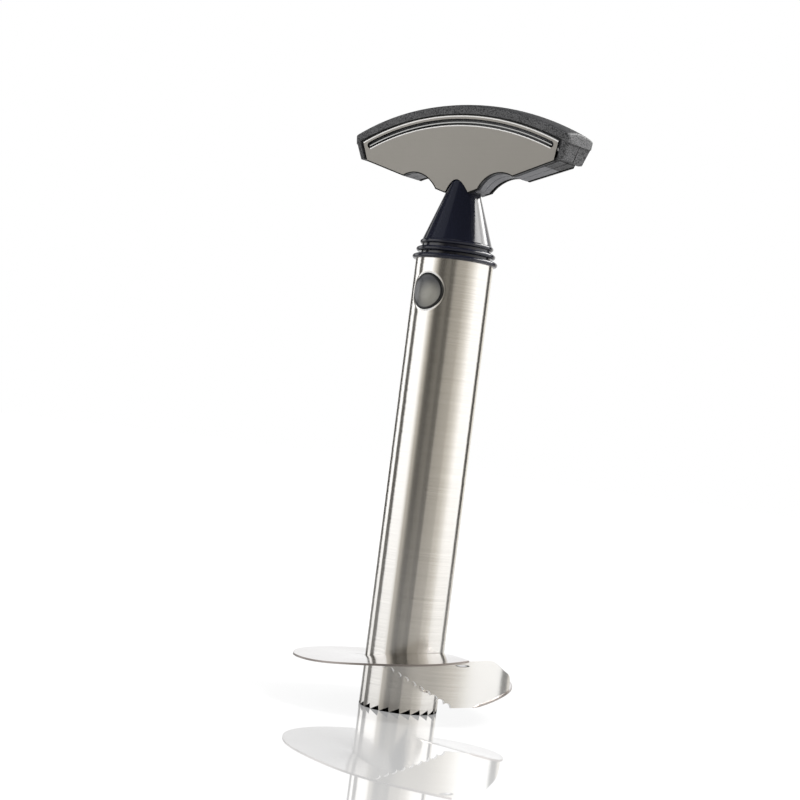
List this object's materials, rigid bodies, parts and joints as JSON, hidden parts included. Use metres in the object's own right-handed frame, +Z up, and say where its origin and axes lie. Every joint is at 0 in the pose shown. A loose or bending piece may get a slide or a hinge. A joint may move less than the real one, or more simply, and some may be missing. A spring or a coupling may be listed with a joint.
{
  "type": "pineapple slicer",
  "caption": "Hand-turned fruit slicer: a toothed coring tube, a spiral blade with a serrated skirt at its foot, and a wide T handle held by spring latch buttons.",
  "frame": {"origin": "centre of the toothed foot, on the plane of the tooth tips that the tool stands on", "axes": "+Z up the coring tube, +X along the handle, -Y the front, where one face plate and one latch button are"},
  "size_m": [0.1098, 0.09, 0.2474],
  "materials": {
    "tube_steel": "brushed round the tube",
    "blade_steel": "bright, finely brushed",
    "skirt_steel": "brushed along its length",
    "neck_gloss": "glossy blue-black",
    "housing_plastic": "moulded",
    "button_plastic": "satin",
    "spring_steel": "drawn wire",
    "fastener_steel": "plain",
    "core_plastic": "smooth moulded",
    "grip_plastic": "fine leather-like grain",
    "spine_plastic": "fine leather-like grain",
    "plate_metal": "satin warm grey",
    "trim_bright": "polished"
  },
  "bodies": {
    "slicer": {"coring_tube": "tube_steel", "spiral_blade": "blade_steel", "cutting_skirt": "skirt_steel", "neck": "neck_gloss", "left_latch_housing": "housing_plastic", "right_latch_housing": "housing_plastic", "housing_end_cap": "housing_plastic", "housing_screw": "fastener_steel", "front_button_spring": "spring_steel", "rear_button_spring": "spring_steel", "handle_core": "core_plastic", "front_grip_shell": "grip_plastic", "rear_grip_shell": "grip_plastic", "top_spine": "spine_plastic", "front_face_plate": "plate_metal", "rear_face_plate": "plate_metal", "front_trim_strip": "trim_bright", "rear_trim_strip": "trim_bright", "neck_pins": "fastener_steel", "shell_screws": "fastener_steel"},
    "front_button": {"front_button": "button_plastic"},
    "rear_button": {"rear_button": "button_plastic"}
  },
  "joints": [
    {"name": "front_button_press", "type": "slide", "parent": "slicer", "child": "front_button", "axis": [0, 1, 0], "range_m": [0, 0.0024], "stiffness_N_per_m": 800, "springref_m": -0.002, "deforming": ["front_button_spring"]},
    {"name": "rear_button_press", "type": "slide", "parent": "slicer", "child": "rear_button", "axis": [0, -1, 0], "range_m": [0, 0.0024], "stiffness_N_per_m": 800, "springref_m": -0.002, "deforming": ["rear_button_spring"]}
  ]
}
